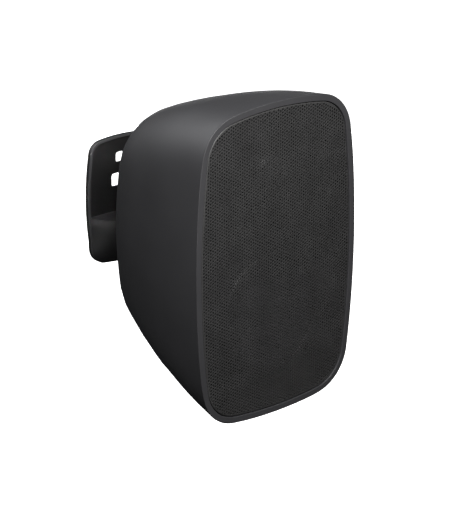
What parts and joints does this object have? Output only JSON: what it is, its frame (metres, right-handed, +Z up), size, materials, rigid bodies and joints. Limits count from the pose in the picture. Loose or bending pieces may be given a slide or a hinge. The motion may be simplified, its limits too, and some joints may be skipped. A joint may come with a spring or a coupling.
{
  "type": "wall loudspeaker",
  "caption": "Passive two-way wall loudspeaker: barrel-fronted moulded cabinet with a flush perforated steel grille, on a scoop-shaped wall bracket that pans and tilts.",
  "frame": {"origin": "middle of the wall bracket's flat back face, on the wall plane", "axes": "+Y into the wall, so the loudspeaker faces -Y; +X to the right of someone facing it; +Z up"},
  "size_m": [0.191, 0.226, 0.2943],
  "materials": {
    "bracket_abs": "satin moulded texture",
    "cabinet_abs": "fine moulded texture",
    "baffle_abs": "matt",
    "grille_paint": "fine powder coat",
    "gasket_foam": "matt foam",
    "black_screw_steel": "black oxide",
    "plated_steel": "zinc plated",
    "arm_paint": "black powder coat",
    "nylon": "natural nylon",
    "basket_paint": "black stove enamel",
    "ferrite": "matt sintered",
    "cone_paper": "pressed paper pulp",
    "surround_rubber": "satin",
    "spider_cloth": "resin-stiffened weave",
    "coil_copper": "enamelled wire",
    "dome_silk": "coated silk",
    "faceplate_abs": "matt",
    "terminal_abs": "satin",
    "lever_red": "gloss",
    "contact_brass": "tinned",
    "board_laminate": "paper laminate",
    "capacitor_film": "wrapped film",
    "resistor_ceramic": "unglazed",
    "lead_pvc": "soft sleeve",
    "damping_felt": "needled polyester"
  },
  "bodies": {
    "wall_mount": {"wall_bracket": "bracket_abs", "pan_bolt": "plated_steel", "pan_washer": "nylon", "pan_top_washer": "plated_steel", "pan_nut": "plated_steel"},
    "swivel": {"swivel_arm": "arm_paint", "tilt_washers": "nylon"},
    "cabinet": {"cabinet_shell": "cabinet_abs", "front_baffle": "baffle_abs", "grille": "grille_paint", "baffle_gasket": "gasket_foam", "baffle_screws": "black_screw_steel", "woofer_screws": "black_screw_steel", "tweeter_screws": "black_screw_steel", "tilt_bolt": "plated_steel", "tilt_nut": "plated_steel", "hinge_screws": "plated_steel", "hinge_backing_plate": "plated_steel", "terminal_screws": "plated_steel", "crossover_screws": "plated_steel", "terminal_pin": "plated_steel", "woofer_top_plate": "plated_steel", "woofer_yoke": "plated_steel", "tweeter_top_plate": "plated_steel", "tweeter_yoke": "plated_steel", "hinge_plate": "arm_paint", "woofer_basket": "basket_paint", "woofer_magnet": "ferrite", "tweeter_magnet": "ferrite", "woofer_surround": "surround_rubber", "woofer_spider": "spider_cloth", "crossover_winding": "coil_copper", "tweeter_surround": "dome_silk", "tweeter_faceplate": "faceplate_abs", "woofer_tag_strip": "faceplate_abs", "tweeter_tag_strip": "faceplate_abs", "crossover_inductor": "faceplate_abs", "terminal_cup": "terminal_abs", "terminal_contacts": "contact_brass", "crossover_board": "board_laminate", "crossover_capacitor": "capacitor_film", "crossover_resistor": "resistor_ceramic", "woofer_lead": "lead_pvc", "tweeter_lead": "lead_pvc", "damping_pad": "damping_felt"},
    "woofer_cone": {"woofer_cone": "cone_paper", "woofer_dust_cap": "cone_paper", "woofer_voice_coil": "coil_copper"},
    "tweeter_dome": {"tweeter_dome": "dome_silk", "tweeter_voice_coil": "coil_copper"},
    "lever_left": {"terminal_lever_left": "terminal_abs"},
    "lever_right": {"terminal_lever_right": "lever_red"}
  },
  "joints": [
    {"name": "pan", "type": "hinge", "parent": "wall_mount", "child": "swivel", "pos_m": [0, -0.019, 0], "axis": [0, 0, 1], "range_deg": [-40, 40]},
    {"name": "tilt", "type": "hinge", "parent": "swivel", "child": "cabinet", "pos_m": [0, -0.054, 0], "axis": [1, 0, 0], "range_deg": [-20, 25]},
    {"name": "woofer_travel", "type": "slide", "parent": "cabinet", "child": "woofer_cone", "axis": [0, -1, 0], "range_m": [-0.004, 0.004], "stiffness_N_per_m": 1200, "deforming": ["woofer_surround", "woofer_spider"]},
    {"name": "tweeter_travel", "type": "slide", "parent": "cabinet", "child": "tweeter_dome", "axis": [0, -1, 0], "range_m": [-0.0004, 0.0004], "stiffness_N_per_m": 2500, "deforming": ["tweeter_surround"]},
    {"name": "lever_left_press", "type": "hinge", "parent": "cabinet", "child": "lever_left", "pos_m": [-0.0075, -0.0745, 0.0555], "axis": [-1, 0, 0], "range_deg": [0, 12], "stiffness_Nm_per_rad": 0.15, "springref_deg": -8.59},
    {"name": "lever_right_press", "type": "hinge", "parent": "cabinet", "child": "lever_right", "pos_m": [0.0075, -0.0745, 0.0555], "axis": [-1, 0, 0], "range_deg": [0, 12], "stiffness_Nm_per_rad": 0.15, "springref_deg": -8.59}
  ]
}
